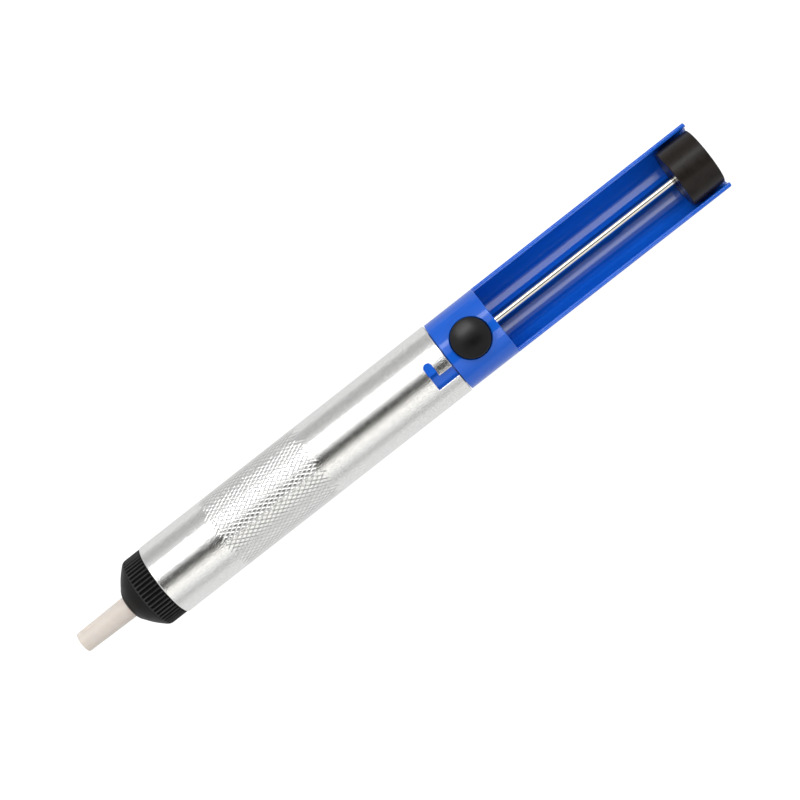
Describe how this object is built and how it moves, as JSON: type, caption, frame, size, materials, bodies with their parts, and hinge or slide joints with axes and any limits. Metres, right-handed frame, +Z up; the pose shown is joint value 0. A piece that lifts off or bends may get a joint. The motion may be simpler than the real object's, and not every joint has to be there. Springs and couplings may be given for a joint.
{
  "type": "desoldering pump",
  "caption": "Spring-loaded desoldering pump: knurled aluminium barrel, ribbed nose cap with a white nozzle, and a trough-shaped handle around the plunger.",
  "frame": {"origin": "centre of the box's footprint, on the surface the pump lies on", "axes": "+X from the nozzle to the end of the plunger guard, +Z up through the release button"},
  "size_m": [0.1958, 0.02, 0.0222],
  "materials": {
    "barrel_aluminium": "bare drawn tube, rolled knurl",
    "blue_plastic": "moulded, slightly glossy",
    "black_plastic": "moulded, satin",
    "button_plastic": "moulded, fine matt texture",
    "ptfe": "turned PTFE, waxy",
    "rod_steel": "bright drawn steel",
    "spring_steel": "plain",
    "rubber": "matt",
    "white_acetal": "turned"
  },
  "bodies": {
    "barrel": {"barrel": "barrel_aluminium", "main_spring": "spring_steel"},
    "nose": {"nozzle": "ptfe", "nozzle_seal": "rubber", "nose_cap": "black_plastic", "nose_seal": "rubber", "spring_seat": "spring_steel"},
    "handle": {"handle": "blue_plastic", "rod_guide": "black_plastic", "button_spring": "spring_steel"},
    "plunger": {"plunger_rod": "rod_steel", "front_clip": "spring_steel", "piston": "white_acetal", "piston_seal": "rubber", "rear_clip": "spring_steel", "bumper_washer": "spring_steel", "bumper": "rubber", "plunger_knob": "black_plastic"},
    "button": {"release_button": "button_plastic", "latch_plate": "spring_steel"}
  },
  "joints": [
    {"name": "handle_twist", "type": "hinge", "parent": "barrel", "child": "handle", "pos_m": [0, 0, 0.00999], "axis": [1, 0, 0], "range_deg": [0, 25.3]},
    {"name": "plunger_slide", "type": "slide", "parent": "handle", "child": "plunger", "axis": [-1, 0, 0], "range_m": [0, 0.045], "stiffness_N_per_m": 295, "springref_m": -0.0195, "deforming": ["main_spring"]},
    {"name": "button_press", "type": "slide", "parent": "handle", "child": "button", "axis": [0, 0, -1], "range_m": [0, 0.0018], "stiffness_N_per_m": 250, "springref_m": -0.002, "deforming": ["button_spring"]},
    {"name": "nose_cap_pull", "type": "slide", "parent": "barrel", "child": "nose", "axis": [-1, 0, 0], "range_m": [0, 0.012]}
  ]
}
